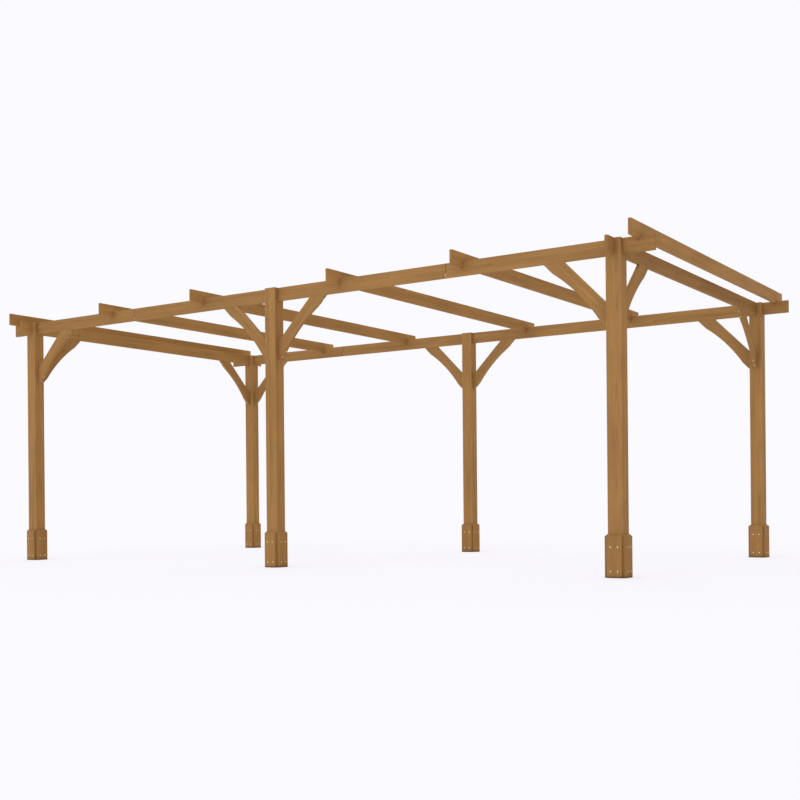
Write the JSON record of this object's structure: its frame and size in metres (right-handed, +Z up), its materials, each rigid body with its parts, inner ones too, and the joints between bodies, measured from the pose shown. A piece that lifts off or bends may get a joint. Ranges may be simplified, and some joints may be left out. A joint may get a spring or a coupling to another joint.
{
  "type": "garden pergola",
  "caption": "Free-standing open timber pergola: square posts with slotted heads carry spliced beams, cross ties, arched knee braces and rafters on edge.",
  "frame": {"origin": "on the ground, in the middle of the posts' footprint", "axes": "+X along the long front from left to right, +Y from front to back, +Z up"},
  "size_m": [6.084, 3.16, 2.187],
  "materials": {
    "post_timber": "brown stained, planed",
    "board_timber": "brown stained, planed",
    "brace_timber": "brown stained, planed",
    "foot_timber": "brown stained, planed",
    "screws": "yellow passivated"
  },
  "bodies": {
    "root": {"post_front_left": "post_timber", "post_front_middle": "post_timber", "post_front_right": "post_timber", "post_back_left": "post_timber", "post_back_middle": "post_timber", "post_back_right": "post_timber", "foot_boards_front_left": "foot_timber", "foot_boards_front_middle": "foot_timber", "foot_boards_front_right": "foot_timber", "foot_boards_back_left": "foot_timber", "foot_boards_back_middle": "foot_timber", "foot_boards_back_right": "foot_timber", "beam_front_left": "board_timber", "beam_front_middle": "board_timber", "beam_front_right": "board_timber", "beam_back_left": "board_timber", "beam_back_middle": "board_timber", "beam_back_right": "board_timber", "tie_left": "board_timber", "tie_right": "board_timber", "rafter_left_end": "board_timber", "rafter_left_outer": "board_timber", "rafter_left_inner": "board_timber", "rafter_right_inner": "board_timber", "rafter_right_outer": "board_timber", "rafter_right_end": "board_timber", "brace_front_left": "brace_timber", "brace_front_middle_left": "brace_timber", "brace_front_middle_right": "brace_timber", "brace_front_right": "brace_timber", "brace_back_left": "brace_timber", "brace_back_middle_left": "brace_timber", "brace_back_middle_right": "brace_timber", "brace_back_right": "brace_timber", "brace_left_front": "brace_timber", "brace_left_back": "brace_timber", "brace_right_front": "brace_timber", "brace_right_back": "brace_timber"}
  },
  "joints": []
}
